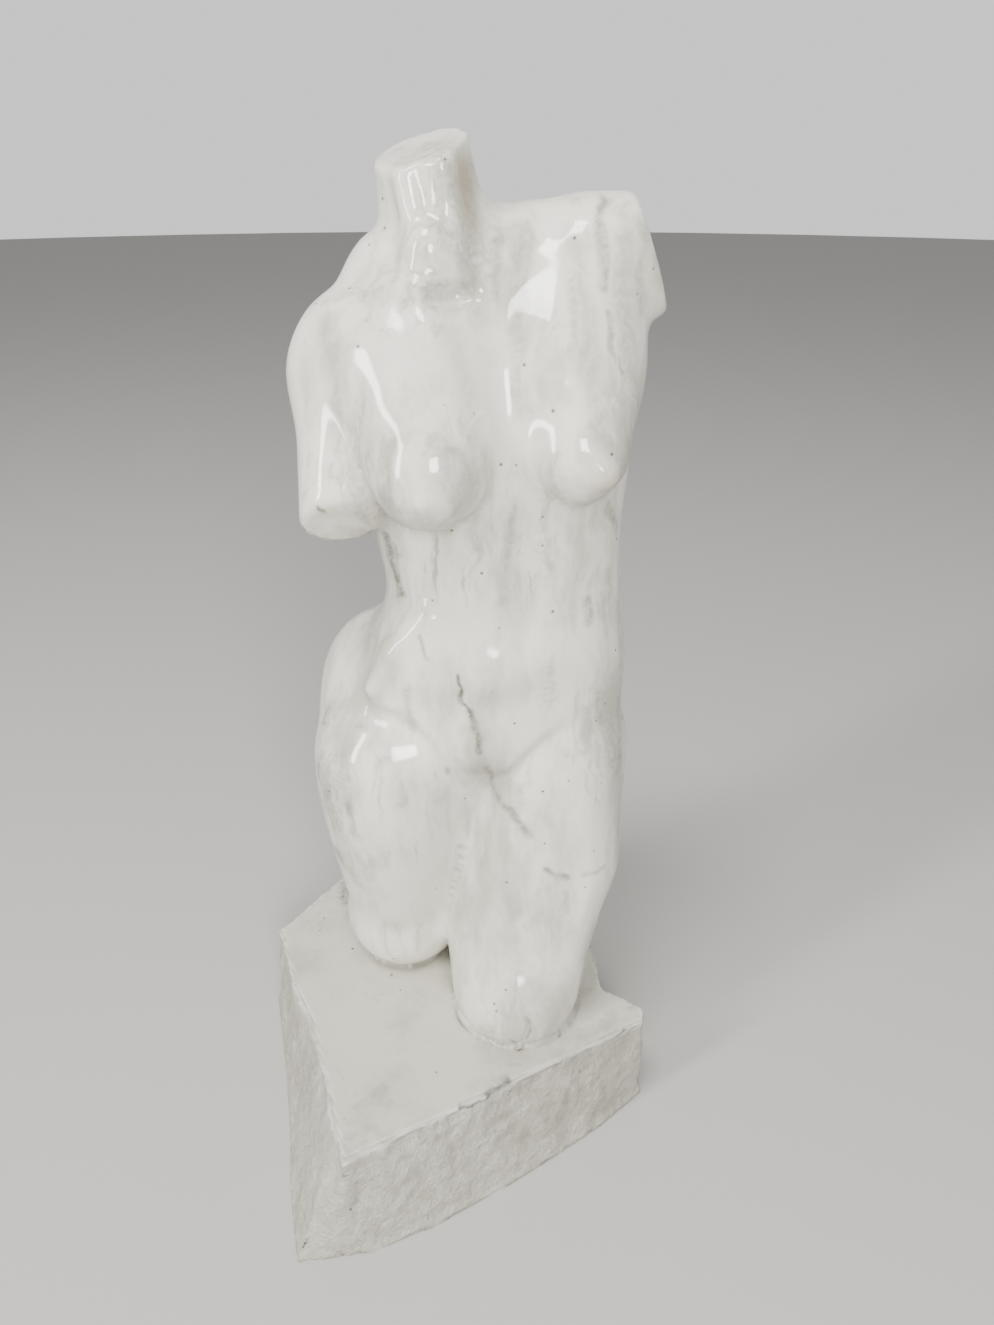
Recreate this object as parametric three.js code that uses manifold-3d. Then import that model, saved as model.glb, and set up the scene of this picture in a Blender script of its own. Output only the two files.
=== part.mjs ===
// Kneeling female torso and its rough plinth, carved from one block of white marble.
// Millimetres, +Z up.  Front is -Y, the figure's own right side is -X.
import * as THREE from 'three';
import { MarchingCubes } from 'three/addons/objects/MarchingCubes.js';
import { ConvexGeometry } from 'three/addons/geometries/ConvexGeometry.js';
import * as BufferGeometryUtils from 'three/addons/utils/BufferGeometryUtils.js';
import Module from 'manifold-3d';

// ---- driving dimensions ----------------------------------------------------------------
const PLINTH_HEIGHT = 50.6;
const SPLIT_DEPTH = 1.6; // how far the split sides of the plinth wander in and out
const SPLIT_ALONG = 2.4; // how fast they wander, in radians from corner to corner
const SPLIT_UP = 1.9; // and from level to level
const FIGURE_FOOT = 36; // the carved figure is followed this far down inside the plinth
const FIGURE_TOP = 437; // and this far up, past the cut that ends the neck
const FACET = 6.9; // width of one carved facet
const FACET_COUNT = 66; // facets across the block the figure is cut from
const BLOCK_HALF = 115; // the figure keeps within this distance of the block's middle
const CLEARANCE = 0.1; // least gap of a facet corner from the surface, in facets
const CUTTING_BLOCK = 120; // side of the block that stands for the stone beyond a flat cut
const WELD = 1e-3; // facet corners nearer than this are one corner
const MOST_FACETS = 20000;
const PLAN_SIZE = 100; // distance from the middle of the plinth to its side, about
const BLOCK_CENTRE = [22, 0, 232];
const CHEST_CENTRE = [46, -8];
const CHEST_TURN = -19; // degrees, the chest looks a little towards its own right
const PELVIS_CENTRE = [35, -5];
const PELVIS_TURN = -23;
const NECK_CUT_POINT = [22, 0, 421.5];
const NECK_CUT_FACING = [-0.38, -0.12, 1];
const SHOULDER_CUT_POINT = [105.8, -25.2, 387.8];
const SHOULDER_CUT_FACING = [0.81, -0.48, 0.33];
const ARM_CUT_POINT = [-27, -21, 305];
const ARM_CUT_FACING = [-0.25, -0.66, -0.7];

// trunk stations, bottom to top: height, centre x, centre y, half width, half depth, turn
const TRUNK = [
  [140, 34, -2, 62, 42, -22],
  [165, 35, -3, 67, 46, -22],
  [190, 37, -5, 66, 44, -22],
  [212, 42, -8, 61, 40, -22],
  [232, 46, -10, 56, 37, -25],
  [252, 51, -11, 49.5, 36.5, -27],
  [280, 48, -11, 50, 37.5, -25],
  [310, 46, -9, 55, 40, -20],
  [335, 45, -6, 58, 40, -18],
  [360, 43, -1, 56, 34, -18],
  [380, 39, 3, 46, 26, -18],
  [396, 34, 5, 34, 20, -18],
];
const TRUNK_BOTTOM = 154;
const TRUNK_TOP = 398;
const TRUNK_SQUARENESS = 2.35;
const TRUNK_CORE = 0.05; // share of the trunk's width counted as its core
const GROIN_FADE = 22; // how gently the wedges cut above the thighs die away
const GROIN_EDGE = 5; // how rounded their edges are
// sideways lean of the trunk stations, bottom to top: height, rise per millimetre of width
const LEAN = [
  [140, 0],
  [200, 0],
  [260, 0.02],
  [320, 0.12],
  [400, 0.16],
];

// plinth outline, anticlockwise from the front left corner: top x, top y, foot x, foot y
const PLINTH_EDGE = [
  [-67, -89, -90, -87],
  [-45, -88.5, -60, -98],
  [-22, -88, -30, -100],
  [12, -87, 13, -97.6],
  [52, -86, 58, -92],
  [88, -85, 90, -84],
  [93, -76, 93, -70],
  [83, -57, 84, -55],
  [96, -25, 98, -24],
  [98, 20, 100, 24],
  [86, 58, 88, 60],
  [62, 84, 66, 90],
  [20, 98, 22, 102],
  [-6, 84, -10, 88],
  [-48, 59, -52, 62],
  [-53, 22, -62, 18],
  [-54, -8, -71, -17],
  [-60, -48, -83, -56],
];
const PLINTH_LEVELS = [0, 0.34, 0.7, 1];

// unworked rock left behind the thighs, corner points of its two lumps
const SIDE_ROCK = [
  [58, -34, 40], [95, -26, 40], [97, 22, 40], [62, 20, 40],
  [64, -30, 74], [84, -26, 72], [91, 0, 62], [80, 18, 84], [66, 10, 86],
];
const BACK_ROCK = [
  [96, 18, 40], [66, 84, 40], [20, 96, 40], [-5, 82, 40], [-16, 62, 40], [90, 2, 40],
  [88, 10, 80], [72, 58, 88], [58, 74, 82], [24, 86, 78], [-2, 74, 68], [34, 58, 96], [72, 20, 98],
];

// ---- clay-like masses: each is a signed distance, negative inside -----------------------
const radians = (degrees) => THREE.MathUtils.degToRad(degrees);

function soften(a, b, reach) {
  const h = Math.max(reach - Math.abs(a - b), 0) / reach;
  return Math.min(a, b) - (h * h * h * reach) / 6;
}

function pare(a, b, reach) {
  return -soften(-a, -b, reach);
}

function turned(yaw, roll, pitch) {
  const euler = new THREE.Euler(radians(pitch), radians(roll), radians(yaw), 'ZYX');
  return new THREE.Matrix4().makeRotationFromEuler(euler).elements;
}

function egg(centre, radii, turn = [0, 0, 0]) {
  const m = turned(...turn);
  return (x, y, z) => {
    const dx = x - centre[0];
    const dy = y - centre[1];
    const dz = z - centre[2];
    const u = (m[0] * dx + m[1] * dy + m[2] * dz) / radii[0];
    const v = (m[4] * dx + m[5] * dy + m[6] * dz) / radii[1];
    const w = (m[8] * dx + m[9] * dy + m[10] * dz) / radii[2];
    const reach = Math.hypot(u, v, w);
    const slope = Math.hypot(u / radii[0], v / radii[1], w / radii[2]) + 1e-9;
    return (reach * (reach - 1)) / slope;
  };
}

function limb(from, to, startRadius, endRadius) {
  const axis = [to[0] - from[0], to[1] - from[1], to[2] - from[2]];
  const lengthSquared = axis[0] ** 2 + axis[1] ** 2 + axis[2] ** 2;
  return (x, y, z) => {
    const dx = x - from[0];
    const dy = y - from[1];
    const dz = z - from[2];
    const along = (dx * axis[0] + dy * axis[1] + dz * axis[2]) / lengthSquared;
    const t = THREE.MathUtils.clamp(along, 0, 1);
    const gap = Math.hypot(dx - t * axis[0], dy - t * axis[1], dz - t * axis[2]);
    return gap - (startRadius + (endRadius - startRadius) * t);
  };
}

function face(point, facing) {
  const size = Math.hypot(...facing);
  const n = facing.map((value) => value / size);
  return (x, y, z) => (x - point[0]) * n[0] + (y - point[1]) * n[1] + (z - point[2]) * n[2];
}

// smooth value of one column of a station list at a height
function station(list, column, height) {
  const last = list.length - 1;
  const z = THREE.MathUtils.clamp(height, list[0][0], list[last][0]);
  let i = 0;
  while (i < last - 1 && z >= list[i + 1][0]) i += 1;
  const slopeAt = (k) => {
    const before = Math.max(k - 1, 0);
    const after = Math.min(k + 1, last);
    return (list[after][column] - list[before][column]) / (list[after][0] - list[before][0]);
  };
  const span = list[i + 1][0] - list[i][0];
  const t = (z - list[i][0]) / span;
  const start = (2 * t ** 3 - 3 * t ** 2 + 1) * list[i][column];
  const startSlope = (t ** 3 - 2 * t ** 2 + t) * span * slopeAt(i);
  const end = (-2 * t ** 3 + 3 * t ** 2) * list[i + 1][column];
  const endSlope = (t ** 3 - t ** 2) * span * slopeAt(i + 1);
  return start + startSlope + end + endSlope;
}

function trunk(x, y, z) {
  const level = z - station(LEAN, 1, z) * (x - station(TRUNK, 1, z));
  const dx = x - station(TRUNK, 1, level);
  const dy = y - station(TRUNK, 2, level);
  const halfWidth = station(TRUNK, 3, level);
  const halfDepth = station(TRUNK, 4, level);
  const turn = radians(station(TRUNK, 5, level));
  const u = dx * Math.cos(turn) + dy * Math.sin(turn);
  const v = dy * Math.cos(turn) - dx * Math.sin(turn);
  const wide = Math.abs(u / halfWidth) ** TRUNK_SQUARENESS;
  const deep = Math.abs(v / halfDepth) ** TRUNK_SQUARENESS;
  const out = (wide + deep) ** (1 / TRUNK_SQUARENESS) + 1e-6;
  const side = out < TRUNK_CORE ? -Math.min(halfWidth, halfDepth) : Math.hypot(u, v) * (1 - 1 / out);
  return pare(pare(side, TRUNK_BOTTOM - z, 24), level - TRUNK_TOP, 14);
}

// points given in the chest's or the pelvis' own directions: to its left, to its back, up
function placed(centre, turn, left, back, up) {
  const c = Math.cos(radians(turn));
  const s = Math.sin(radians(turn));
  return [centre[0] + left * c - back * s, centre[1] + left * s + back * c, up];
}

const chest = (left, back, up) => placed(CHEST_CENTRE, CHEST_TURN, left, back, up);
const pelvis = (left, back, up) => placed(PELVIS_CENTRE, PELVIS_TURN, left, back, up);

// masses joined among themselves, then worked into the figure as one
function together(first, ...others) {
  return (x, y, z) => others.reduce((d, [mass, reach]) => soften(d, mass(x, y, z), reach),
    first(x, y, z));
}

function cutOff(mass, cut, reach) {
  return (x, y, z) => pare(mass(x, y, z), cut(x, y, z), reach);
}

const neck = together(
  limb([33, 6, 372], [22, 3.5, 440], 22, 15.5),
  [limb([10.5, -1, 436], [17.5, -14, 382], 3.5, 4.5), 7],
  [limb([23, -10, 436], [27, -16, 388], 4.5, 5), 8],
  [egg([19, -14, 390], [10, 9, 10]), 8],
);
const rightArm = cutOff(together(
  egg([-8, 7, 350], [20, 21, 27], [-19, 10, 0]),
  [limb([-9, 5, 345], [-23, -15, 288], 18.5, 14.5), 14],
  [egg([0, -10, 352], [17, 13, 18]), 12],
), face(ARM_CUT_POINT, ARM_CUT_FACING), 5);
const rightPec = egg(chest(-31, -30, 340), [23, 17, 36], [-24, -8, -30]);
const rightBreast = together(
  egg(chest(-29, -41, 319), [21, 19, 22], [-30, 0, -20]),
  [egg([-8, -57.5, 311], [3.4, 3.4, 3.4]), 8],
);
const leftPec = egg(chest(28, -27, 343), [21, 16, 35], [-8, 8, -28]);
const leftBreast = together(
  egg(chest(27, -38, 323.5), [18.5, 18, 19], [-6, 0, -20]),
  [egg([59, -67, 318], [4.5, 7, 4.5], [18, 0, 0]), 10],
);
const rightThigh = together(
  limb([-1, -1, 182], [2.5, 2, 145], 34, 32),
  [limb([2.5, 2, 145], [9, 17, 82], 32, 26.5), 12],
  [egg([10, 18, 76], [27, 26, 27]), 14],
);
// the front of the left thigh is worked to a flatter plane on its inner side
const leftThigh = together(
  cutOff(together(
    limb([64.5, -22, 180], [58, -32, 128], 39, 37.5),
    [limb([58, -32, 128], [45, -38, 84], 37.5, 33), 8],
  ), face([36, -54.3, 156], [-0.42, -0.9, 0.08]), 4),
  [egg([41.5, -41, 62], [30.5, 33, 32], [-28, 0, 0]), 14],
);

// a raised line through the given points
function ridge(radius, reach, ...line) {
  return line.slice(1).map((end, i) => [limb(line[i], end, radius, radius), reach]);
}

// masses added to the trunk and hollows cut from it, with the width of each transition
const BUILD_UP = [
  [neck, 10],
  [limb([26, 8, 385], [-6, 9, 360], 12, 12), 20],
  [limb([42, 4, 389], [90, -16, 389], 12, 13), 20],
  [limb([12, -14, 376], [-14, -2, 366], 4, 5), 12],
  [limb([27, -18, 379], [70, -22, 386], 4, 7), 14],
  [egg(chest(-28, -15, 354), [27, 17, 28], [-32, 0, -14]), 20],
  [egg(chest(29, -15, 356), [27, 17, 28], [-6, 0, -14]), 20],
  [limb(chest(38, 2, 386), chest(85, 0, 388), 22, 21), 16],
  [limb(chest(42, 5, 372), chest(40, 3, 330), 19, 12), 18],
  [rightArm, 8],
  [rightPec, 22],
  [leftPec, 22],
  [rightBreast, 9],
  [leftBreast, 9],
  [egg(pelvis(1, -15, 236), [38, 24, 28], [-23, 0, 8]), 26],
  [egg(pelvis(-38.5, 13, 201), [26.5, 28, 38], [-23, 0, 0]), 22],
  [limb([50, -44, 242], [76, -40, 228], 8, 10), 14],
  [egg(pelvis(-28, 28, 168), [31, 24, 36]), 22],
  [egg(pelvis(32, 26, 168), [31, 24, 36]), 22],
  [rightThigh, 7],
  [limb(pelvis(-3, -31, 200), pelvis(5, -18, 168), 15, 11), 18],
  [leftThigh, 6],
  [egg(pelvis(34.5, 3, 216), [27, 34, 32], [-23, 0, 0]), 22],
  ...ridge(7, 16, [10, -27.5, 232], [30, -38.5, 234], [66, -43, 238]),
  [limb([47, -20, 82], [67, 50, 70], 27, 18), 16],
  [limb([11, 26, 72], [23, 74, 64], 23, 14), 16],
  [egg(chest(-24, 24, 345), [17, 12, 27], [-19, 12, 0]), 16],
  [egg(chest(28, 24, 350), [17, 12, 27], [-19, -6, 0]), 16],
  ...ridge(4, 9, [7, -26.5, 256], [-4, -20, 241], [-12, -14.5, 224]),
];
const BACKBONE = [[53, 42, 200], [66, 27, 250], [62, 31, 290], [59, 36, 335], [51, 34, 368]];
const HOLLOWS = [
  [egg([21, -26.5, 376], [9, 5, 3.5]), 7],
  ...ridge(3, 14, ...BACKBONE),
  [limb(pelvis(2, 54, 140), pelvis(3, 44, 195), 2, 2), 9],
];

// a direction given in the pelvis' own directions
function pelvisFacing(left, back, up) {
  const [x, y] = placed([0, 0], PELVIS_TURN, left, back, up);
  return [x, y, up];
}

// the wedge of belly cut away above a thigh, in front of the hip only
function groin(middle, facing, side, outward) {
  const below = face(pelvis(...middle), pelvisFacing(...facing));
  const beside = face(pelvis(side, 0, 200), pelvisFacing(outward, 0, 0));
  const behind = face(pelvis(0, 2, 200), pelvisFacing(0, 1, 0));
  return (x, y, z) => {
    const belowAndWithin = pare(-below(x, y, z), beside(x, y, z), GROIN_FADE);
    return pare(belowAndWithin, behind(x, y, z), GROIN_FADE);
  };
}

const rightGroin = groin([-25, -38, 213.5], [-0.52, -0.28, -0.8], -46, -1);
const leftGroin = groin([14.5, -40.5, 189.5], [0.69, -0.206, -0.69], 44, 1);

function figureDistance(x, y, z) {
  let d = pare(trunk(x, y, z), -rightGroin(x, y, z), GROIN_EDGE);
  d = pare(d, -leftGroin(x, y, z), GROIN_EDGE);
  for (const [mass, reach] of BUILD_UP) d = soften(d, mass(x, y, z), reach);
  for (const [hollow, reach] of HOLLOWS) d = pare(d, -hollow(x, y, z), reach);
  return Math.max(d, FIGURE_FOOT - z, z - FIGURE_TOP);
}

// ---- solids ------------------------------------------------------------------------------
const wasm = await Module();
wasm.setup();

function solidOf(geometry) {
  const bare = geometry.clone();
  bare.deleteAttribute('normal');
  bare.deleteAttribute('uv');
  const merged = BufferGeometryUtils.mergeVertices(bare, WELD);
  const mesh = new wasm.Mesh({
    numProp: 3,
    vertProperties: Float32Array.from(merged.attributes.position.array),
    triVerts: Uint32Array.from(merged.index.array),
  });
  return new wasm.Manifold(mesh);
}

function carvedFigure() {
  const material = new THREE.MeshStandardMaterial();
  const cubes = new MarchingCubes(FACET_COUNT, material, false, false, MOST_FACETS);
  cubes.isolation = 0;
  const half = FACET_COUNT / 2;
  // a corner is never left nearer to the surface than this, so no facet is a sliver
  const clear = FACET * CLEARANCE;
  for (let k = 0; k < FACET_COUNT; k += 1) {
    for (let j = 0; j < FACET_COUNT; j += 1) {
      for (let i = 0; i < FACET_COUNT; i += 1) {
        const x = BLOCK_CENTRE[0] + (i - half) * FACET;
        const y = BLOCK_CENTRE[1] + (j - half) * FACET;
        const z = BLOCK_CENTRE[2] + (k - half) * FACET;
        const far = Math.abs(x - BLOCK_CENTRE[0]) > BLOCK_HALF || Math.abs(y) > BLOCK_HALF;
        const d = far ? FACET : figureDistance(x, y, z);
        const kept = Math.abs(d) < clear ? Math.sign(d || 1) * clear : d;
        cubes.field[i + j * FACET_COUNT + k * FACET_COUNT * FACET_COUNT] = -kept;
      }
    }
  }
  cubes.update();
  const geometry = new THREE.BufferGeometry();
  const corners = cubes.positionArray.slice(0, cubes.count * 3);
  geometry.setAttribute('position', new THREE.BufferAttribute(corners, 3));
  geometry.scale(half * FACET, half * FACET, half * FACET);
  geometry.translate(...BLOCK_CENTRE);
  return solidOf(geometry);
}

// half-space beyond a flat cut, as a large block standing on the cut plane
function beyond(point, facing) {
  const size = CUTTING_BLOCK;
  const normal = new THREE.Vector3(...facing).normalize();
  const block = new THREE.BoxGeometry(size, size, size);
  block.translate(0, 0, size / 2);
  const up = new THREE.Vector3(0, 0, 1);
  block.applyQuaternion(new THREE.Quaternion().setFromUnitVectors(up, normal));
  block.translate(...point);
  return solidOf(block);
}

function plinth() {
  const rings = PLINTH_LEVELS.map((level, ring) => PLINTH_EDGE.map((edge, i) => {
    const between = ring > 0 && ring < PLINTH_LEVELS.length - 1;
    const hollow = between ? SPLIT_DEPTH * (1 - Math.sin(SPLIT_ALONG * i + SPLIT_UP * ring)) : 0;
    const inward = 1 - hollow / PLAN_SIZE;
    const x = THREE.MathUtils.lerp(edge[2], edge[0], level);
    const y = THREE.MathUtils.lerp(edge[3], edge[1], level);
    return new THREE.Vector3(x * inward, y * inward, level * PLINTH_HEIGHT);
  }));
  const corners = rings.flat();
  const count = PLINTH_EDGE.length;
  const index = [];
  for (let ring = 0; ring < rings.length - 1; ring += 1) {
    for (let i = 0; i < count; i += 1) {
      const a = ring * count + i;
      const b = ring * count + ((i + 1) % count);
      index.push(a, b, b + count, a, b + count, a + count);
    }
  }
  const cap = (ring) => {
    const flat = rings[ring].map((corner) => new THREE.Vector2(corner.x, corner.y));
    return THREE.ShapeUtils.triangulateShape(flat, []);
  };
  for (const [a, b, c] of cap(0)) index.push(c, b, a);
  const lift = (rings.length - 1) * count;
  for (const [a, b, c] of cap(rings.length - 1)) index.push(a + lift, b + lift, c + lift);
  const geometry = new THREE.BufferGeometry().setFromPoints(corners);
  geometry.setIndex(index);
  return solidOf(geometry);
}

function rock(points) {
  return solidOf(new ConvexGeometry(points.map((point) => new THREE.Vector3(...point))));
}

const figure = carvedFigure()
  .subtract(beyond(NECK_CUT_POINT, NECK_CUT_FACING))
  .subtract(beyond(SHOULDER_CUT_POINT, SHOULDER_CUT_FACING));
const block = plinth().add(rock(SIDE_ROCK)).add(rock(BACK_ROCK)).add(figure);

// ---- the part ----------------------------------------------------------------------------
function geometryOf(solid) {
  const mesh = solid.getMesh();
  const geometry = new THREE.BufferGeometry();
  geometry.setAttribute('position', new THREE.BufferAttribute(Float32Array.from(mesh.vertProperties), 3));
  geometry.setIndex(Array.from(mesh.triVerts));
  geometry.computeBoundingBox();
  const box = geometry.boundingBox;
  geometry.translate(-(box.min.x + box.max.x) / 2, -(box.min.y + box.max.y) / 2, -box.min.z);
  geometry.computeVertexNormals();
  return geometry;
}

const marble = new THREE.MeshStandardMaterial({ color: 0xdcdcd6, roughness: 0.22, metalness: 0 });
const sculpture = new THREE.Group();
sculpture.name = 'marble_torso';
const carving = new THREE.Mesh(geometryOf(block), marble);
carving.name = 'torso_on_rough_plinth';
sculpture.add(carving);

export default sculpture;
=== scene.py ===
"""Kneeling female torso and its rough plinth, carved from one block of white marble.

The carver's own sizes below are in millimetres, from the same corner of the block as the
solid's; every finished vertex is in metres in the frame's own place.
"""
import math

import bmesh
import bpy
import numpy as np
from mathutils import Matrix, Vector, noise


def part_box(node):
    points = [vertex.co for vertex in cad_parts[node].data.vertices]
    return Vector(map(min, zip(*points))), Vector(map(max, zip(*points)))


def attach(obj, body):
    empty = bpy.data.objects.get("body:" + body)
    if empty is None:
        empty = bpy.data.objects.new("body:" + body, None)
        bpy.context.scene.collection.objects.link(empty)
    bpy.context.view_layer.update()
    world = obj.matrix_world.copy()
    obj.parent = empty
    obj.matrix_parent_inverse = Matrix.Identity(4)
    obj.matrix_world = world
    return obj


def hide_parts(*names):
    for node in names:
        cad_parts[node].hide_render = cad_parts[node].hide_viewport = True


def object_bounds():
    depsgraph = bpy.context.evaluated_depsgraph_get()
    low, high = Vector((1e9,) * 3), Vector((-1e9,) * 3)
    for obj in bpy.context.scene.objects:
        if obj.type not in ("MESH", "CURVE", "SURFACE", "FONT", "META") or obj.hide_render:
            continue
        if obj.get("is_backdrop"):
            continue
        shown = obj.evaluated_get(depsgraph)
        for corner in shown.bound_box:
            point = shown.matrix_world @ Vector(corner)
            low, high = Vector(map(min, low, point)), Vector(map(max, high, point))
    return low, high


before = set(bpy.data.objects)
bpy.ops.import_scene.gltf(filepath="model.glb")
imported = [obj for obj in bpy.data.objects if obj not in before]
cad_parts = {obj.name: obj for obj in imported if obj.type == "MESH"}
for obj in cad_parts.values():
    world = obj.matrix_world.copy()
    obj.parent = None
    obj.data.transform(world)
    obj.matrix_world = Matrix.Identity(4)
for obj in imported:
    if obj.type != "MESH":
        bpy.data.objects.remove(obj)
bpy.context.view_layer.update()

NODE = "torso_on_rough_plinth"
MM = 0.001
FINE_FACE = 1.8 * MM
SETTLING_ROUNDS = 5
LONGEST_MOVE = 2.0
LEAST_SLOPE = 0.15

# ---- sizes of the carving, in millimetres ------------------------------------------------
FOOT_LEFT = -90.0
FOOT_FRONT = -100.0
PLINTH_HEIGHT = 50.6
PLINTH_ARRIS = 1.6
CHEST_CENTRE = (46, -8)
CHEST_TURN = -19
PELVIS_CENTRE = (35, -5)
PELVIS_TURN = -23
NECK_CUT = ((22, 0, 421.5), (-0.38, -0.12, 1), 1.8)
SHOULDER_CUT = ((105.8, -25.2, 387.8), (0.81, -0.48, 0.33), 5)
ARM_CUT = ((-27, -21, 305), (-0.25, -0.66, -0.7), 5)
GROOVE_RADIUS = 1.5
GROOVE_SET_OUT = 0.8
GROOVE_EDGE = 0.9
SPLIT_BROAD = 1.5
SPLIT_STEPS = 0.5
SPLIT_GRAIN = 0.75
SPLIT_SET_BACK = 1.1

# where each finish of the stone starts and is complete, in millimetres from its edge
POLISH_BAND = (1.2, 0.5)
POLISH_DEPTH = 2.5
HONED_BAND = (1.4, 0.5)
HONED_INSET = (-0.6, -2.2)
ROCK_BAND = (0.2, 1.5)
FOOT_BAND = (0, 5)
# the band of painted shade that darkens the groove round the knees at the plinth top
GROOVE_SHADE_BAND = (2.6, 1.0)
ARRIS_BAND = (3.4, 0.9)
UNDERSIDE_HEIGHT = 0.4

# trunk stations, bottom to top: height, centre x, centre y, half width, half depth, turn
TRUNK = (
    (140, 34, -2, 62, 42, -22),
    (165, 35, -3, 67, 46, -22),
    (190, 37, -5, 66, 44, -22),
    (212, 42, -8, 61, 40, -22),
    (232, 46, -10, 56, 37, -25),
    (252, 51, -11, 49.5, 36.5, -27),
    (280, 48, -11, 50, 37.5, -25),
    (310, 46, -9, 55, 40, -20),
    (335, 45, -6, 58, 40, -18),
    (360, 43, -1, 56, 34, -18),
    (380, 39, 3, 46, 26, -18),
    (396, 34, 5, 34, 20, -18),
)
TRUNK_BOTTOM = 154
TRUNK_TOP = 398
TRUNK_SQUARENESS = 2.35
GROIN_FADE = 22
GROIN_EDGE = 5
LEAN = ((140, 0), (200, 0), (260, 0.02), (320, 0.12), (400, 0.16))

# plinth outline, anticlockwise from the front left corner: top x, top y, foot x, foot y
PLINTH_EDGE = (
    (-67, -89, -90, -87),
    (-45, -88.5, -60, -98),
    (-22, -88, -30, -100),
    (12, -87, 13, -97.6),
    (52, -86, 58, -92),
    (88, -85, 90, -84),
    (93, -76, 93, -70),
    (83, -57, 84, -55),
    (96, -25, 98, -24),
    (98, 20, 100, 24),
    (86, 58, 88, 60),
    (62, 84, 66, 90),
    (20, 98, 22, 102),
    (-6, 84, -10, 88),
    (-48, 59, -52, 62),
    (-53, 22, -62, 18),
    (-54, -8, -71, -17),
    (-60, -48, -83, -56),
)
SIDE_ROCK = (
    (58, -34, 40), (95, -26, 40), (97, 22, 40), (62, 20, 40),
    (64, -30, 74), (84, -26, 72), (91, 0, 62), (80, 18, 84), (66, 10, 86),
)
BACK_ROCK = (
    (96, 18, 40), (66, 84, 40), (20, 96, 40), (-5, 82, 40), (-16, 62, 40), (90, 2, 40),
    (88, 10, 80), (72, 58, 88), (58, 74, 82), (24, 86, 78), (-2, 74, 68), (34, 58, 96), (72, 20, 98),
)


# ---- clay-like masses: signed distances, negative inside ----------------------------------
def soften(a, b, reach):
    h = np.maximum(reach - np.abs(a - b), 0) / reach
    return np.minimum(a, b) - h**3 * reach / 6


def pare(a, b, reach):
    return -soften(-a, -b, reach)


def turned(yaw=0, roll=0, pitch=0):
    a, b, c = np.radians((yaw, roll, pitch))
    about_z = np.array(((np.cos(a), -np.sin(a), 0), (np.sin(a), np.cos(a), 0), (0, 0, 1)))
    about_y = np.array(((np.cos(b), 0, np.sin(b)), (0, 1, 0), (-np.sin(b), 0, np.cos(b))))
    about_x = np.array(((1, 0, 0), (0, np.cos(c), -np.sin(c)), (0, np.sin(c), np.cos(c))))
    return about_z @ about_y @ about_x


def egg(centre, radii, turn=(0, 0, 0)):
    centre, radii, axes = np.array(centre, float), np.array(radii, float), turned(*turn)

    def distance(points):
        local = (points - centre) @ axes / radii
        reach = np.sqrt((local**2).sum(1))
        slope = np.sqrt(((local / radii) ** 2).sum(1)) + 1e-9
        return reach * (reach - 1) / slope

    return distance


def limb(start, end, start_radius, end_radius):
    start, end = np.array(start, float), np.array(end, float)
    axis = end - start

    def distance(points):
        offset = points - start
        t = np.clip(offset @ axis / (axis @ axis), 0, 1)
        gap = np.sqrt(((offset - t[:, None] * axis) ** 2).sum(1))
        return gap - (start_radius + (end_radius - start_radius) * t)

    return distance


def face(point, facing):
    normal = np.array(facing, float) / np.linalg.norm(facing)
    return lambda points: (points - np.array(point, float)) @ normal


def station(stations, column, height):
    """Smooth value of one column of a station list at each height."""
    table = np.array(stations, float)
    z, value = table[:, 0], table[:, column]
    slope = np.gradient(value)
    slope[1:-1] = (value[2:] - value[:-2]) / (z[2:] - z[:-2])
    slope[0] = (value[1] - value[0]) / (z[1] - z[0])
    slope[-1] = (value[-1] - value[-2]) / (z[-1] - z[-2])
    height = np.clip(height, z[0], z[-1])
    i = np.clip(np.searchsorted(z, height, side="right") - 1, 0, len(z) - 2)
    span = z[i + 1] - z[i]
    t = (height - z[i]) / span
    low = (2 * t**3 - 3 * t**2 + 1) * value[i] + (t**3 - 2 * t**2 + t) * span * slope[i]
    high = (-2 * t**3 + 3 * t**2) * value[i + 1] + (t**3 - t**2) * span * slope[i + 1]
    return low + high


def bowed(*stops):
    """An upright limb bending smoothly through its stops: height, left, back, radius."""
    def distance(points):
        x, y, z = points.T
        left, back, radius = (station(stops, column, z) for column in (1, 2, 3))
        past_end = z - np.clip(z, stops[0][0], stops[-1][0])
        return np.sqrt((x - left) ** 2 + (y - back) ** 2 + past_end**2) - radius

    return distance


def trunk(points):
    x, y, z = points.T
    level = z - station(LEAN, 1, z) * (x - station(TRUNK, 1, z))
    dx, dy = x - station(TRUNK, 1, level), y - station(TRUNK, 2, level)
    half_width, half_depth = station(TRUNK, 3, level), station(TRUNK, 4, level)
    turn = np.radians(station(TRUNK, 5, level))
    u = dx * np.cos(turn) + dy * np.sin(turn)
    v = dy * np.cos(turn) - dx * np.sin(turn)
    power = TRUNK_SQUARENESS
    out = (np.abs(u / half_width) ** power + np.abs(v / half_depth) ** power) ** (1 / power) + 1e-6
    side = np.where(out < 0.05, -np.minimum(half_width, half_depth), np.hypot(u, v) * (1 - 1 / out))
    return pare(pare(side, TRUNK_BOTTOM - z, 24), level - TRUNK_TOP, 14)


def placed(centre, turn, left, back, up):
    c, s = math.cos(math.radians(turn)), math.sin(math.radians(turn))
    return (centre[0] + left * c - back * s, centre[1] + left * s + back * c, up)


TURN_PELVIS = turned(PELVIS_TURN)


def chest(left, back, up):
    return placed(CHEST_CENTRE, CHEST_TURN, left, back, up)


def pelvis(left, back, up):
    return placed(PELVIS_CENTRE, PELVIS_TURN, left, back, up)


def together(first, *others):
    def distance(points):
        d = first(points)
        for mass, reach in others:
            d = soften(d, mass(points), reach)
        return d

    return distance


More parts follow.
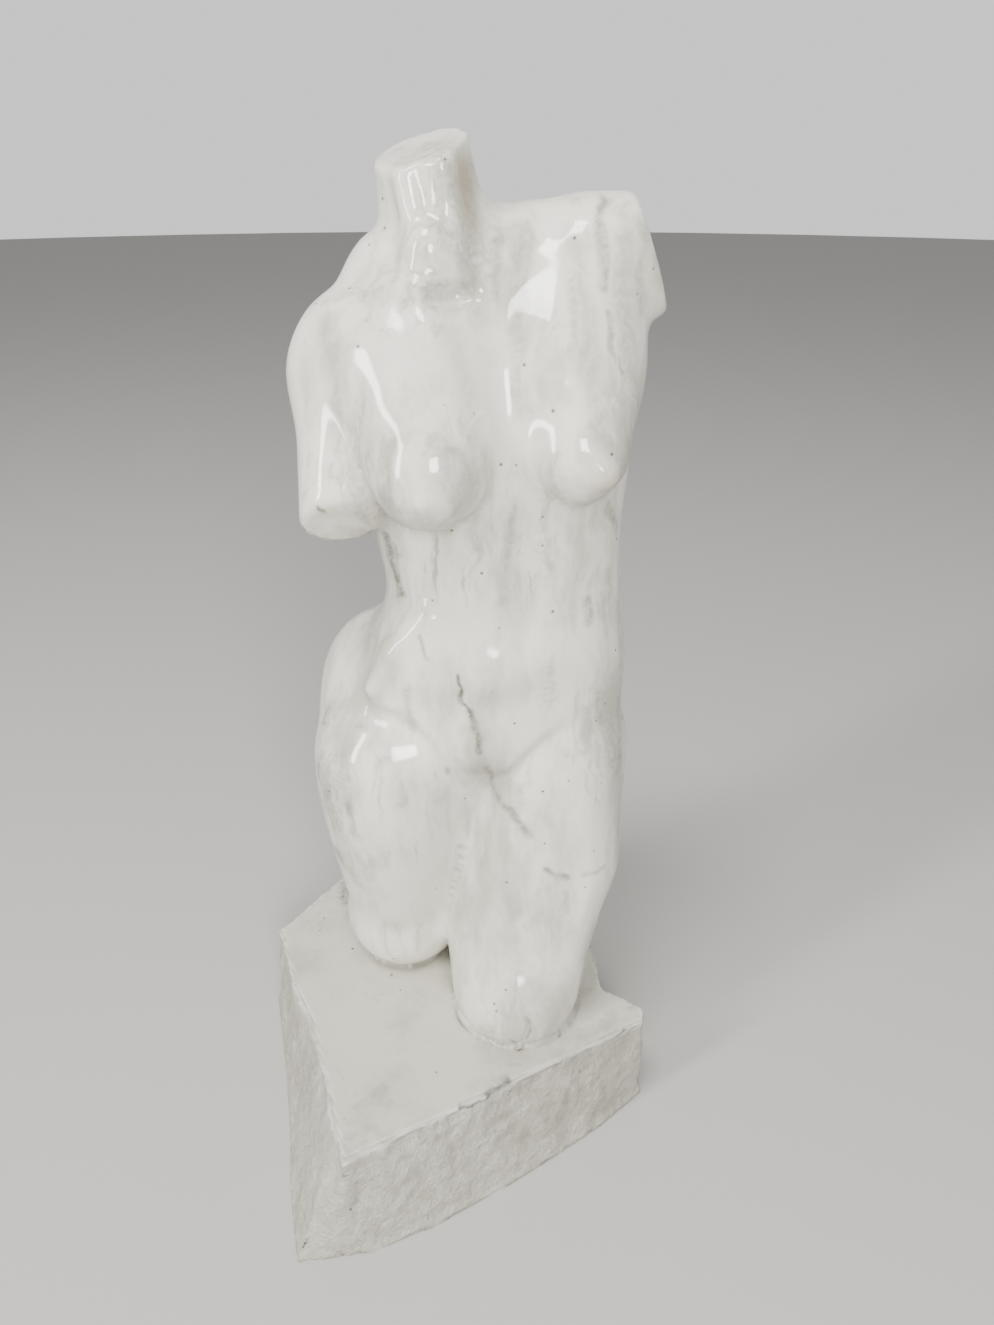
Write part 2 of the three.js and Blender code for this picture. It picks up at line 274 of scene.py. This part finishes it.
def cut_off(mass, cut):
    point, facing, reach = cut
    beyond = face(point, facing)
    return lambda points: pare(mass(points), beyond(points), reach)


NECK = together(
    limb((33, 6, 372), (22, 3.5, 440), 22, 15.5),
    (limb((10.5, -1, 436), (17.5, -14, 382), 3.5, 4.5), 7),
    (limb((23, -10, 436), (27, -16, 388), 4.5, 5), 8),
    (egg((19, -14, 390), (10, 9, 10)), 8),
)
RIGHT_ARM = cut_off(
    together(
        egg((-8, 7, 350), (20, 21, 27), (-19, 10, 0)),
        (limb((-9, 5, 345), (-23, -15, 288), 18.5, 14.5), 14),
        (egg((0, -10, 352), (17, 13, 18)), 12),
    ),
    ARM_CUT,
)
RIGHT_PEC = egg(chest(-31, -30, 340), (23, 17, 36), (-24, -8, -30))
RIGHT_BREAST = together(
    egg(chest(-29, -41, 319), (21, 19, 22), (-30, 0, -20)),
    (egg((-8, -57.5, 311), (3.4, 3.4, 3.4)), 8),
)
LEFT_PEC = egg(chest(28, -27, 343), (21, 16, 35), (-8, 8, -28))
LEFT_BREAST = together(
    egg(chest(27, -38, 323.5), (18.5, 18, 19), (-6, 0, -20)),
    (egg((59, -67, 318), (4.5, 7, 4.5), (18, 0, 0)), 10),
)
RIGHT_THIGH = together(
    bowed(
        (76, 9.2, 16.8, 26.6), (84, 9.2, 16.8, 26.8), (108, 6.4, 10.5, 30.2), (136, 3.4, 4, 33.2),
        (158, 1, 0.4, 34.4), (174, -0.5, -0.6, 34.1), (182, -0.5, -0.6, 34.1),
    ),
    (egg((10, 18, 76), (27, 26, 27)), 14),
)
LEFT_THIGH = together(
    cut_off(
        together(
            limb((64.5, -22, 180), (58, -32, 128), 39, 36.6),
            (limb((58, -32, 128), (45, -38, 84), 36.6, 33), 6),
        ),
        ((36, -54.3, 156), (-0.42, -0.9, 0.08), 4),
    ),
    (egg((41.5, -41, 62), (30.5, 33, 32), (-28, 0, 0)), 14),
)


def ridge(radius, reach, *line):
    """A raised line through the given points."""
    return [(limb(low, high, radius, radius), reach) for low, high in zip(line, line[1:])]


# masses added to the trunk and hollows cut from it, with the width of each transition
BUILD_UP = (
    (NECK, 10),
    (limb((26, 8, 385), (-6, 9, 360), 12, 12), 20),
    (limb((42, 4, 389), (90, -16, 389), 12, 13), 20),
    (limb((12, -14, 376), (-14, -2, 366), 4, 5), 12),
    (limb((27, -18, 379), (70, -22, 386), 4, 7), 14),
    (egg(chest(-28, -15, 354), (27, 17, 28), (-32, 0, -14)), 20),
    (egg(chest(29, -15, 356), (27, 17, 28), (-6, 0, -14)), 20),
    (limb(chest(38, 2, 386), chest(85, 0, 388), 22, 21), 16),
    (limb(chest(42, 5, 372), chest(40, 3, 330), 19, 12), 18),
    (RIGHT_ARM, 8),
    (RIGHT_PEC, 22),
    (LEFT_PEC, 22),
    (RIGHT_BREAST, 9),
    (LEFT_BREAST, 9),
    (egg(pelvis(1, -15, 236), (38, 24, 28), (-23, 0, 8)), 26),
    (egg(pelvis(-38.5, 13, 201), (26.5, 28, 38), (-23, 0, 0)), 22),
    (limb((50, -44, 242), (76, -40, 228), 8, 10), 14),
    (egg(pelvis(-28, 28, 168), (31, 24, 36)), 22),
    (egg(pelvis(32, 26, 168), (31, 24, 36)), 22),
    (RIGHT_THIGH, 7),
    (limb(pelvis(-3, -31, 200), pelvis(5, -18, 168), 15, 11), 18),
    (LEFT_THIGH, 6),
    (egg(pelvis(34.5, 3, 216), (27, 34, 32), (-23, 0, 0)), 22),
    *ridge(7, 16, (10, -27.5, 232), (30, -38.5, 234), (66, -43, 238)),
    (limb((47, -20, 82), (67, 50, 70), 27, 18), 16),
    (limb((11, 26, 72), (23, 74, 64), 23, 14), 16),
    (egg(chest(-24, 24, 345), (17, 12, 27), (-19, 12, 0)), 16),
    (egg(chest(28, 24, 350), (17, 12, 27), (-19, -6, 0)), 16),
    *ridge(4, 9, (7, -26.5, 256), (-4, -20, 241), (-12, -14.5, 224)),
    *ridge(3.5, 6, (10.5, -20, 378), (10.5, -27.5, 366), (13.7, -34.5, 354), (18, -38.5, 344)),
)
BACKBONE = ((53, 42, 200), (66, 27, 250), (62, 31, 290), (59, 36, 335), (51, 34, 368))
HOLLOWS = (
    (egg((21, -26.5, 376), (9, 5, 3.5)), 7),
    *((limb(low, high, 3, 3), 14) for low, high in zip(BACKBONE, BACKBONE[1:])),
    (limb(pelvis(2, 54, 140), pelvis(3, 44, 195), 2, 2), 9),
)


def groin(middle, facing, side, outward):
    """The wedge of belly cut away above a thigh, in front of the hip only."""
    below = face(pelvis(*middle), TURN_PELVIS @ facing)
    beside = face(pelvis(side, 0, 200), TURN_PELVIS @ (outward, 0, 0))
    behind = face(pelvis(0, 2, 200), TURN_PELVIS @ (0, 1, 0))
    return lambda points: pare(pare(-below(points), beside(points), GROIN_FADE), behind(points), GROIN_FADE)


RIGHT_GROIN = groin((-25, -38, 213.5), (-0.52, -0.28, -0.8), -46, -1)
LEFT_GROIN = groin((14.5, -40.5, 189.5), (0.69, -0.206, -0.69), 44, 1)


def figure(points):
    d = pare(trunk(points), -RIGHT_GROIN(points), GROIN_EDGE)
    d = pare(d, -LEFT_GROIN(points), GROIN_EDGE)
    for mass, reach in BUILD_UP:
        d = soften(d, mass(points), reach)
    for hollow, reach in HOLLOWS:
        d = pare(d, -hollow(points), reach)
    for point, facing, reach in (NECK_CUT, SHOULDER_CUT):
        d = pare(d, face(point, facing)(points), reach)
    return d


def outline(points, corners):
    """Distance to an outline in plan, negative inside it."""
    x, y = points[:, 0], points[:, 1]
    nearest = np.full(len(points), np.inf)
    inside = np.zeros(len(points), bool)
    for (ax, ay), (bx, by) in zip(corners, corners[1:] + corners[:1]):
        ex, ey = bx - ax, by - ay
        t = np.clip(((x - ax) * ex + (y - ay) * ey) / (ex * ex + ey * ey), 0, 1)
        nearest = np.minimum(nearest, (x - ax - t * ex) ** 2 + (y - ay - t * ey) ** 2)
        crossing = (ay > y) != (by > y)
        at = ax + (y - ay) * ex / (ey if ey else 1e-9)
        inside ^= crossing & (x < at)
    return np.where(inside, -1, 1) * np.sqrt(nearest)


def plinth_side(points):
    top = outline(points, [edge[:2] for edge in PLINTH_EDGE])
    foot = outline(points, [edge[2:] for edge in PLINTH_EDGE])
    level = np.clip(points[:, 2] / PLINTH_HEIGHT, 0, 1)
    return top * level + foot * (1 - level)


def lump(corners):
    """A split lump of rock: the flat faces round its corner points."""
    shape = bmesh.new()
    for corner in corners:
        shape.verts.new(corner)
    bmesh.ops.convex_hull(shape, input=shape.verts)
    shape.normal_update()
    faces = [(np.array(f.verts[0].co), np.array(f.normal)) for f in shape.faces]
    middle = np.mean(corners, axis=0)
    shape.free()
    faces = [(at, n if (at - middle) @ n > 0 else -n) for at, n in faces]
    return lambda points: np.max([(points - at) @ n for at, n in faces], axis=0)


side_rock = lump(SIDE_ROCK)
back_rock = lump(BACK_ROCK)


def rough_stone(points):
    block = pare(plinth_side(points), points[:, 2] - PLINTH_HEIGHT, PLINTH_ARRIS)
    block = np.maximum(block, -points[:, 2])
    return np.minimum(block, np.minimum(side_rock(points), back_rock(points)))


def carving(points):
    body, stone = figure(points), rough_stone(points)
    groove = np.hypot(body - GROOVE_SET_OUT, points[:, 2] - PLINTH_HEIGHT) - GROOVE_RADIUS
    return pare(np.minimum(body, stone), -groove, GROOVE_EDGE)


# ---- the fine carving ------------------------------------------------------------------
block_low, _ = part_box(NODE)
ORIGIN = np.array((FOOT_LEFT - block_low.x / MM, FOOT_FRONT - block_low.y / MM, 0.0))


def to_carving(rows):
    return rows / MM + ORIGIN


def to_rows(points):
    return (points - ORIGIN) * MM


def even_copy(node, size):
    """The solid's shape as one welded mesh of small even faces."""
    shape = bmesh.new()
    shape.from_mesh(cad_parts[node].data)
    bmesh.ops.remove_doubles(shape, verts=shape.verts, dist=0.01 * MM)
    mesh = bpy.data.meshes.new("rough_carving")
    shape.to_mesh(mesh)
    shape.free()
    rough = bpy.data.objects.new("rough_carving", mesh)
    bpy.context.collection.objects.link(rough)
    remesh = rough.modifiers.new("even_faces", "REMESH")
    remesh.mode = "VOXEL"
    remesh.voxel_size = size
    fine = bpy.data.meshes.new_from_object(rough.evaluated_get(bpy.context.evaluated_depsgraph_get()))
    bpy.data.objects.remove(rough)
    return fine


def slope_of(surface, points, step=0.05):
    moves = np.eye(3) * step
    return np.stack([(surface(points + m) - surface(points - m)) / (2 * step) for m in moves], 1)


def settle(surface, points):
    """Moves points onto a surface along its slope."""
    for _ in range(SETTLING_ROUNDS):
        slope = slope_of(surface, points)
        size = np.maximum((slope**2).sum(1), LEAST_SLOPE)
        move = (surface(points) / size)[:, None] * slope
        length = np.linalg.norm(move, axis=1, keepdims=True) + 1e-9
        points = points - move * np.minimum(1, LONGEST_MOVE / length)
    return points


def ramp(value, start, end):
    t = np.clip((value - start) / (end - start), 0, 1)
    return t * t * (3 - 2 * t)


def split_relief(points):
    """How far the split faces stand in or out, in millimetres."""
    relief = np.empty(len(points))
    for i, point in enumerate(points):
        at = Vector(point)
        broad = noise.noise(at / 17)
        steps = noise.cell(at / 9 + Vector((7, 3, 1)))
        grain = noise.fractal(at / 5, 1.0, 2.1, 4)
        relief[i] = SPLIT_BROAD * broad + SPLIT_STEPS * steps + SPLIT_GRAIN * grain
    return relief


def carve_block():
    mesh = even_copy(NODE, FINE_FACE)
    count = len(mesh.vertices)
    rows = np.empty(count * 3)
    mesh.vertices.foreach_get("co", rows)
    points = settle(carving, to_carving(rows.reshape(-1, 3)))

    body = figure(points)
    height = points[:, 2]
    top = ramp(np.abs(height - PLINTH_HEIGHT), *HONED_BAND) * ramp(plinth_side(points), *HONED_INSET)
    lumps = np.minimum(side_rock(points), back_rock(points))
    polished = ramp(body, *POLISH_BAND)
    polished = np.where(height < PLINTH_HEIGHT - POLISH_DEPTH, 0, polished)
    honed = top * (1 - polished) * ramp(lumps, *ROCK_BAND)
    split = (1 - polished) * (1 - honed)
    underside = height < UNDERSIDE_HEIGHT

    facing = slope_of(carving, points)
    facing /= np.linalg.norm(facing, axis=1, keepdims=True) + 1e-9
    rough = np.flatnonzero((split > 0.02) & ~underside)
    relief = np.zeros(count)
    relief[rough] = split_relief(points[rough]) * split[rough]
    relief = (relief - SPLIT_SET_BACK * split) * ramp(height, *FOOT_BAND)
    points = points + facing * relief[:, None]
    points[:, 2] = np.where(underside, 0, np.maximum(points[:, 2], 0))

    rows = to_rows(points)
    mesh.vertices.foreach_set("co", rows.astype(np.float32).ravel())
    # painted shade: how strongly the groove round the knees, and the stone just beside it, is darkened
    groove_shade = ramp(np.hypot(body - GROOVE_SET_OUT, height - PLINTH_HEIGHT), *GROOVE_SHADE_BAND)
    edge = np.hypot(plinth_side(points), height - PLINTH_HEIGHT)
    arris = ramp(edge, *ARRIS_BAND) * (1 - polished)
    masks = {"polished": polished, "honed": honed, "split": split, "groove_shade": groove_shade, "arris": arris}
    for name, values in masks.items():
        layer = mesh.attributes.new(name, "FLOAT", "POINT")
        layer.data.foreach_set("value", values.astype(np.float32))
    mesh.polygons.foreach_set("use_smooth", np.ones(len(mesh.polygons), bool))
    mesh.update()
    piece = bpy.data.objects.new("marble_torso_and_plinth", mesh)
    bpy.context.collection.objects.link(piece)
    return piece


# ---- shader expressions ------------------------------------------------------------------
class Wire:
    """A number in a material, with the usual arithmetic."""

    def __init__(self, shader, socket):
        self.shader, self.socket = shader, socket

    def math(self, operation, first, second=None):
        node = self.shader.add("Math", {"operation": operation}, Value=first)
        if second is not None:
            self.shader.feed(node, "Value_001", second)
        return Wire(self.shader, node.outputs[0])

    def __add__(self, other):
        return self.math("ADD", self, other)

    def __radd__(self, other):
        return self.math("ADD", other, self)

    def __sub__(self, other):
        return self.math("SUBTRACT", self, other)

    def __rsub__(self, other):
        return self.math("SUBTRACT", other, self)

    def __mul__(self, other):
        return self.math("MULTIPLY", self, other)

    def __rmul__(self, other):
        return self.math("MULTIPLY", other, self)

    def __truediv__(self, other):
        return self.math("DIVIDE", self, other)

    def __abs__(self):
        return self.math("ABSOLUTE", self)

    def most(self, other):
        return self.math("MAXIMUM", self, other)

    def least(self, other):
        return self.math("MINIMUM", self, other)

    def between(self, start, end):
        """0 at start, 1 at end, smooth in the middle."""
        node = self.shader.add(
            "MapRange", {"interpolation_type": "SMOOTHSTEP"}, Value=self,
            **{"From Min": start, "From Max": end})
        return Wire(self.shader, node.outputs["Result"])


class Shader:
    """A material built up node by node."""

    def __init__(self, name):
        self.material = bpy.data.materials.new(name)
        self.material.use_nodes = True
        self.tree = self.material.node_tree
        self.tree.nodes.clear()
        self.place = self.add("TexCoord").outputs["Object"]

    def feed(self, node, name, value):
        socket = next(s for s in node.inputs if s.identifier == name)
        if isinstance(value, Wire):
            value = value.socket
        if isinstance(value, bpy.types.NodeSocket):
            self.tree.links.new(value, socket)
        else:
            socket.default_value = value

    def add(self, kind, settings=None, **sockets):
        node = self.tree.nodes.new("ShaderNode" + kind)
        for name, value in (settings or {}).items():
            setattr(node, name, value)
        for name, value in sockets.items():
            self.feed(node, name, value)
        return node

    def vector(self, operation, first, second=None, scale=None):
        node = self.add("VectorMath", {"operation": operation}, Vector=first)
        if second is not None:
            self.feed(node, "Vector_001", second)
        if scale is not None:
            self.feed(node, "Scale", scale)
        return node

    def stretched(self, place, amounts):
        return self.vector("MULTIPLY", place, amounts).outputs["Vector"]

    def noise(self, place, scale, detail=3.0, roughness=0.55):
        node = self.add("TexNoise", {}, Vector=place, Scale=scale, Detail=detail, Roughness=roughness)
        return Wire(self, node.outputs["Fac"])

    def cells(self, place, scale):
        node = self.add("TexVoronoi", {}, Vector=place, Scale=scale)
        colour = self.add("SeparateColor", {}, Color=node.outputs["Color"])
        return Wire(self, node.outputs["Distance"]), Wire(self, colour.outputs[0])

    def mask(self, name):
        return Wire(self, self.add("Attribute", {"attribute_name": name}).outputs["Fac"])

    def blend(self, factor, under, over):
        node = self.add("Mix", {"data_type": "RGBA"}, Factor_Float=factor, A_Color=under, B_Color=over)
        return node.outputs[2]


# ---- marble ------------------------------------------------------------------------------
WHITE = (0.790, 0.762, 0.680, 1)
CLOUD = (0.360, 0.352, 0.282, 1)
GREY_GREEN = (0.180, 0.182, 0.135, 1)
OLIVE = (0.070, 0.070, 0.042, 1)
HONEY = (0.420, 0.330, 0.200, 1)
HONED_TINT = (0.420, 0.405, 0.325, 1)
SPLIT_TINT = (0.520, 0.495, 0.410, 1)
SPLIT_SHADE = (0.340, 0.322, 0.255, 1)
CHIPPED = (0.740, 0.715, 0.640, 1)

# veins drawn as short strokes in the stone, and one stroke of painted shade in the waist crease: points
# along it, half width, strength
DARK_VEINS_AND_CREASE_SHADE = (
    (((13, -40, 236), (15, -42, 225), (18, -44, 214)), 1.7, 0.9),
    (((17, -44, 218), (19, -45, 211), (22, -47, 203)), 2.8, 0.75),
    (((24, -48, 194), (27, -49, 176), (33, -51, 169), (40, -53, 157)), 2.6, 0.62),
    (((45, -61, 141), (48, -64, 136), (53, -65, 135)), 2.6, 0.60),
    (((62, -65, 138), (74, -62, 136)), 2.2, 0.50),
    (((-4, -14, 289), (0, -13, 277), (1, -14, 263)), 2.6, 0.75),
    (((4, -30, 250), (4, -33, 242)), 1.6, 0.45),
    (((6, -42, 193), (6, -42, 189)), 2.0, 0.60),
    # painted shade: a dark stroke in the crease at the left side of the waist, not a vein
    (((68, -52, 262), (67, -53, 252)), 3.2, 0.50),
    (((74, -52, 300), (82, -47, 286)), 1.8, 0.45),
    (((-32, -19, 304), (-29, -17, 304)), 1.8, 0.80),
    (((24, -69, 56), (27, -69, 55)), 1.4, 0.60),
    (((-12, -87, 49.6), (-6, -87, 50.2), (13, -87, 50)), 1.3, 0.85),
)
GREY_STREAKS = (
    (((36, -12, 415), (34, -16, 396), (31, -20, 380)), 6.5, 0.42),
    (((84, -34, 392), (80, -46, 362), (79, -54, 338)), 8.0, 0.40),
    (((50, -20, 396), (42, -34, 366), (41, -42, 340)), 6.0, 0.36),
    (((66, -34, 394), (62, -50, 360), (60, -62, 332)), 6.5, 0.34),
    (((24, -20, 372), (20, -38, 344), (24, -42, 318)), 6.0, 0.26),
    (((-18, -8, 366), (-24, -28, 334)), 6.5, 0.26),
    (((80, -28, 406), (75, -38, 395), (74, -41, 378)), 3.0, 0.65),
    (((71, -50, 368), (70, -54, 359), (74, -55, 350)), 2.6, 0.60),
    (((42, -20, 395), (38, -28, 376)), 3.2, 0.40),
    (((55, -19, 398), (46, -34, 372)), 3.2, 0.40),
    (((61, -41, 380), (57, -48, 360)), 2.8, 0.40),
    (((89, -41, 398), (88, -45, 370)), 4.0, 0.45),
    (((35, -47, 292), (32, -45, 266)), 4.5, 0.45),
    (((-3, -28, 227), (-3, -30, 209)), 3.5, 0.40),
    (((52, -66, 128), (54, -66, 118)), 2.5, 0.40),
    (((-23, 12, 222), (-25, 12, 200)), 3.0, 0.35),
    (((-29, -17, 174), (-28, -16, 168)), 4.0, 0.35),
)
HONEY_STAINS = (
    (((33, -12, 418), (34, -15, 399)), 5.0, 0.55),
    (((57, -73, 318), (60, -72, 315)), 7.0, 0.40),
    (((-31, -19, 303), (-26, -19, 303)), 6.0, 0.22),
)


# the drawn veins run straight back into the stone a little way
INTO_STONE = Vector((0.391, 0.921, 0.0))
DEPTH_KEPT = 0.15


def pressed(point):
    """A point moved most of the way onto the upright plane the veins are drawn on."""
    point = Vector(to_rows(np.array(point)))
    return point - INTO_STONE * (point.dot(INTO_STONE) * (1 - DEPTH_KEPT))


def stroke(shader, place, points, half_width):
    """1 along a broken line through the stone, fading to 0 at its half width."""
    nearest = None
    for start, end in zip(points, points[1:]):
        low, high = pressed(start), pressed(end)
        axis = high - low
        offset = shader.vector("SUBTRACT", place, tuple(low)).outputs["Vector"]
        along = Wire(shader, shader.vector("DOT_PRODUCT", offset, tuple(axis)).outputs["Value"])
        t = (along / axis.length_squared).most(0.0).least(1.0)
        foot = shader.vector("SCALE", tuple(axis), scale=t).outputs["Vector"]
        gap = Wire(shader, shader.vector("DISTANCE", offset, foot).outputs["Value"])
        nearest = gap if nearest is None else nearest.least(gap)
    return nearest.between(half_width * MM, 0.0)


def strokes(shader, place, drawn):
    depth = Wire(shader, shader.vector("DOT_PRODUCT", place, tuple(INTO_STONE)).outputs["Value"])
    shift = shader.vector("SCALE", tuple(INTO_STONE), scale=depth * (1 - DEPTH_KEPT)).outputs["Vector"]
    flat = shader.vector("SUBTRACT", place, shift).outputs["Vector"]
    total = None
    for points, half_width, strength in drawn:
        mark = stroke(shader, flat, points, half_width) * strength
        total = mark if total is None else total.most(mark)
    return total


def marble():
    shader = Shader("white_marble")
    place = shader.place
    polished, honed, split = shader.mask("polished"), shader.mask("honed"), shader.mask("split")
    groove_shade, arris = shader.mask("groove_shade"), shader.mask("arris")

    # the stone's layers stand almost upright, so every pattern is drawn out in height
    wander = shader.add("TexNoise", {}, Vector=place, Scale=70.0, Detail=3.0).outputs["Color"]
    wander = shader.vector("SUBTRACT", wander, (0.5, 0.5, 0.5)).outputs["Vector"]
    wander = shader.vector("SCALE", wander, scale=0.009).outputs["Vector"]
    warped = shader.vector("ADD", place, wander).outputs["Vector"]
    upright = shader.stretched(warped, (1.0, 1.0, 0.28))

    clouds = shader.noise(upright, 26.0, 5.0, 0.62).between(0.43, 0.66)
    wisps = shader.noise(upright, 85.0, 4.0, 0.65).between(0.49, 0.68)
    regions = shader.noise(place, 12.0, 2.0).between(0.40, 0.60)
    grain = shader.noise(place, 420.0, 2.0).between(0.35, 0.7)
    threads = shader.noise(shader.stretched(warped, (1.0, 1.0, 0.10)), 130.0, 3.0, 0.6)
    threads = threads.between(0.60, 0.74) * regions
    bands = 1.0 - abs(shader.noise(upright, 17.0, 3.0, 0.5) - 0.5) * 30.0
    bands = bands.most(0.0) * regions * (0.3 + 0.7 * grain)

    broken = 0.5 + 0.5 * shader.noise(warped, 330.0, 3.0, 0.7).between(0.36, 0.58)
    dark = strokes(shader, warped, DARK_VEINS_AND_CREASE_SHADE) * broken
    streaks = strokes(shader, warped, GREY_STREAKS) * broken
    honey = strokes(shader, warped, HONEY_STAINS)

    speck_gap, speck_pick = shader.cells(place, 190.0)
    specks = speck_gap.between(0.17, 0.06) * speck_pick.between(0.90, 0.92)

    colour = shader.blend(clouds * 0.72, WHITE, CLOUD)
    colour = shader.blend(wisps * regions * 0.48, colour, GREY_GREEN)
    colour = shader.blend(threads * 0.62, colour, GREY_GREEN)
    colour = shader.blend(bands * 0.50, colour, GREY_GREEN)
    colour = shader.blend(honey, colour, HONEY)
    colour = shader.blend(streaks, colour, GREY_GREEN)
    colour = shader.blend(honed * 0.60, colour, HONED_TINT)
    sugar = shader.noise(place, 190.0, 6.0, 0.72)
    patches = shader.noise(place, 55.0, 4.0, 0.6).between(0.35, 0.65)
    chalk = shader.blend(sugar.between(0.36, 0.62) * 0.55 + patches * 0.45, SPLIT_SHADE, SPLIT_TINT)
    colour = shader.blend(split * 0.8, colour, chalk)
    colour = shader.blend(arris * (0.35 + 0.5 * patches), colour, CHIPPED)
    # dark veins in olive, with the painted shade of the waist crease among them
    colour = shader.blend(dark, colour, OLIVE)
    # painted shade: olive darkening in the groove round the knees
    colour = shader.blend(groove_shade * 0.55, colour, OLIVE)
    colour = shader.blend(specks * 0.8, colour, OLIVE)

    handling = shader.noise(place, 26.0, 3.0).between(0.35, 0.7)
    polish = 0.07 + 0.05 * handling + 0.10 * dark
    finish = polish * polished + honed * (0.40 + 0.08 * grain) + split * (0.66 + 0.14 * grain)

    ripple = shader.noise(place, 34.0, 2.0, 0.4) * 0.35
    honed_marks = shader.noise(place, 260.0, 3.0) * honed * 0.10
    crystals, _ = shader.cells(place, 620.0)
    pitted = sugar * 2.6 + crystals * 0.5
    height = ripple * polished + honed_marks + pitted * split - specks * 0.25
    bump = shader.add("Bump", {}, Strength=1.0, Distance=0.001, Height=height)

    surface = shader.add(
        "BsdfPrincipled", {}, Normal=bump.outputs["Normal"], Roughness=finish,
        **{"Base Color": colour, "IOR": 1.52, "Subsurface Weight": 0.12,
           "Subsurface Radius": (1.0, 0.92, 0.8), "Subsurface Scale": 0.004})
    out = shader.add("OutputMaterial")
    shader.feed(out, "Surface", surface.outputs["BSDF"])
    return shader.material


# ---- setting -----------------------------------------------------------------------------
FLOOR_TINT = (0.46, 0.445, 0.42, 1)
FLOOR_RADIUS = 6.0
TOWARD_WALL = (0.47, 0.87, 0.15)
WALL_TURN = (0.0, 0.85)
ROOM_LIGHT = (0.20, 1.0)
EYE_PLACE = (-138.85, -360.65, 421.6)
EYE_TILT = 63
EYE_TURN = -28
LENS_LENGTH = 27.3


def pale_floor():
    shader = Shader("pale_floor")
    surface = shader.add("BsdfPrincipled", {}, Roughness=0.8, **{"Base Color": FLOOR_TINT})
    out = shader.add("OutputMaterial")
    shader.feed(out, "Surface", surface.outputs["BSDF"])
    shape = bmesh.new()
    bmesh.ops.create_circle(shape, cap_ends=True, segments=64, radius=FLOOR_RADIUS)
    mesh = bpy.data.meshes.new("floor")
    shape.to_mesh(mesh)
    shape.free()
    floor = bpy.data.objects.new("floor", mesh)
    mesh.materials.append(shader.material)
    bpy.context.collection.objects.link(floor)
    floor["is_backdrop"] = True


def aim(thing, place, target):
    thing.location = place
    thing.rotation_euler = (Vector(target) - Vector(place)).to_track_quat("-Z", "Y").to_euler()


def soft_light(name, place, target, width, height, power):
    light = bpy.data.lights.new(name, "AREA")
    light.shape = "RECTANGLE"
    light.size, light.size_y = width, height
    light.energy = power
    lamp = bpy.data.objects.new(name, light)
    bpy.context.collection.objects.link(lamp)
    aim(lamp, place, target)


def studio():
    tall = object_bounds()[1].z
    chest_at = (0, 0, 0.75 * tall)
    soft_light("window_behind_camera", (-0.42, -1.50, 0.98), chest_at, 0.42, 0.60, 34)
    soft_light("window_left", (-1.5, -0.25, 0.85), chest_at, 0.20, 1.1, 26)
    soft_light("window_above", (-0.5, -0.4, 1.9), chest_at, 0.5, 0.5, 26)
    soft_light("window_right", (1.4, -0.9, 0.8), chest_at, 0.06, 1.0, 1.2)
    world = bpy.data.worlds.new("pale_room")
    world.use_nodes = True
    tree = world.node_tree
    room = tree.nodes["Background"]
    room.inputs["Strength"].default_value = 1.0
    direction = tree.nodes.new("ShaderNodeTexCoord")
    toward_wall = tree.nodes.new("ShaderNodeVectorMath")
    toward_wall.operation = "DOT_PRODUCT"
    toward_wall.inputs[1].default_value = TOWARD_WALL
    pale_wall = tree.nodes.new("ShaderNodeMapRange")
    pale_wall.interpolation_type = "SMOOTHSTEP"
    limits = zip(("From Min", "From Max", "To Min", "To Max"), WALL_TURN + ROOM_LIGHT)
    for limit, value in limits:
        pale_wall.inputs[limit].default_value = value
    tree.links.new(direction.outputs["Generated"], toward_wall.inputs[0])
    tree.links.new(toward_wall.outputs["Value"], pale_wall.inputs["Value"])
    tree.links.new(pale_wall.outputs["Result"], room.inputs["Color"])
    bpy.context.scene.world = world


def camera():
    """A short lens close to the figure, level with its neck and looking down at it."""
    lens = bpy.data.cameras.new("camera")
    lens.lens = LENS_LENGTH
    lens.clip_start, lens.clip_end = 0.01, 20
    eye = bpy.data.objects.new("camera", lens)
    bpy.context.collection.objects.link(eye)
    eye.location = to_rows(np.array(EYE_PLACE))
    eye.rotation_euler = (math.radians(EYE_TILT), 0, math.radians(EYE_TURN))
    bpy.context.scene.camera = eye


torso = carve_block()
torso.data.materials.clear()
torso.data.materials.append(marble())
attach(torso, "root")
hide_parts(NODE)
pale_floor()
studio()
camera()
